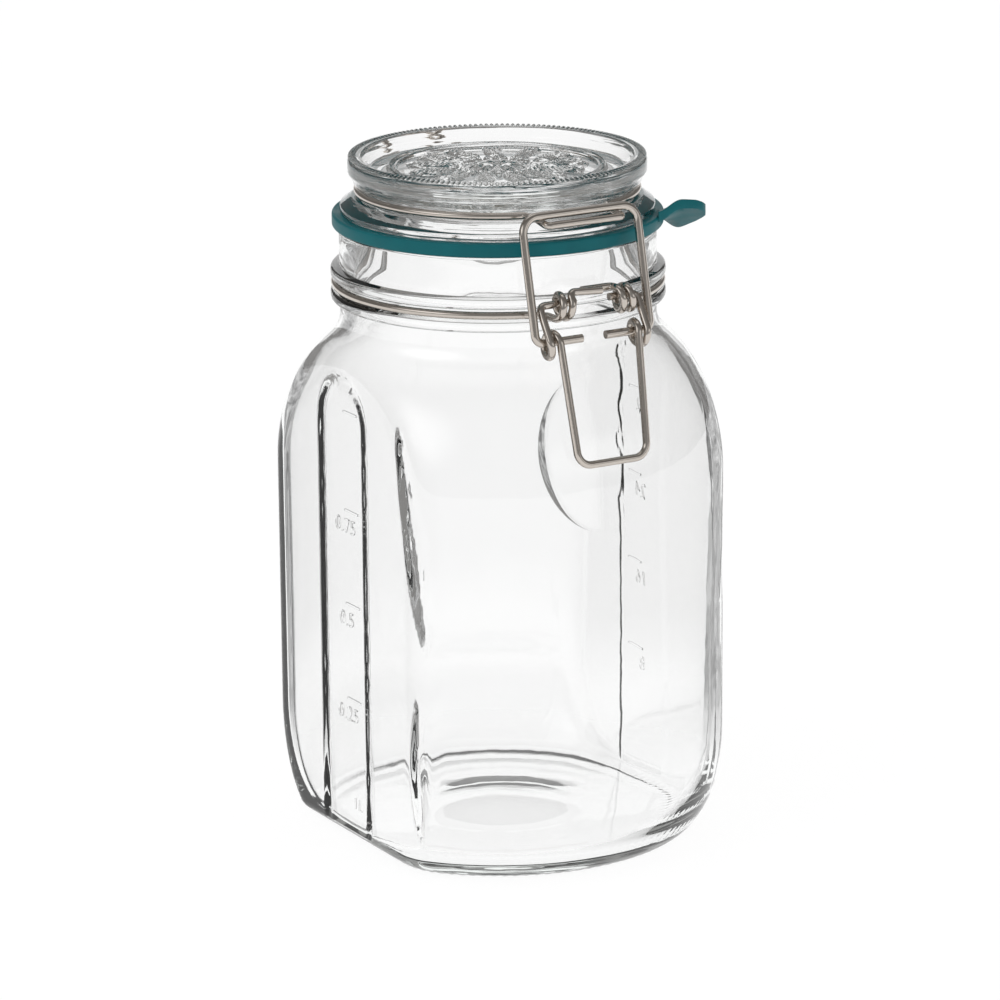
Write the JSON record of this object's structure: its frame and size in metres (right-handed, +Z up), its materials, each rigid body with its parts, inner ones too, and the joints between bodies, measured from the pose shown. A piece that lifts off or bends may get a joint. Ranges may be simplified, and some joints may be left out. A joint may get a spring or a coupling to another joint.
{
  "type": "clip-top glass storage jar",
  "caption": "Glass storage jar with two flat sides, a hinged glass lid on a rubber gasket with a pull tab, and a wire bail clasp.",
  "frame": {"origin": "centre of the base, on the surface that the jar stands on", "axes": "+Z up, the clasp faces -Y, the hinge is at +Y, and the two flat sides face +X and -X"},
  "size_m": [0.096, 0.1216, 0.184],
  "materials": {
    "clear_glass": "clear pressed soda-lime glass, fire polished",
    "teal_rubber": "moulded rubber, matte with a slight sheen",
    "steel_wire": "drawn round steel wire, bright"
  },
  "bodies": {
    "jar": {"jar_body": "clear_glass", "neck_band": "steel_wire"},
    "lid": {"lid": "clear_glass", "gasket": "teal_rubber", "lid_band": "steel_wire"},
    "lever": {"lever": "steel_wire"},
    "bail": {"bail": "steel_wire"}
  },
  "joints": [
    {"name": "lid_hinge", "type": "hinge", "parent": "jar", "child": "lid", "pos_m": [0, 0.0505, 0.165], "axis": [-1, 0, 0], "range_deg": [0, 195]},
    {"name": "lever_swing", "type": "hinge", "parent": "jar", "child": "lever", "pos_m": [0, -0.048, 0.1539], "axis": [-1, 0, 0], "range_deg": [0, 135]},
    {"name": "bail_swing", "type": "hinge", "parent": "lever", "child": "bail", "pos_m": [-0.0012, -0.0508, 0.1448], "axis": [-1, 0, 0], "range_deg": [-162, 0]}
  ],
  "couplings": [
    {"joint": "bail_swing", "follows": "lever_swing", "ratio": -1.2}
  ]
}
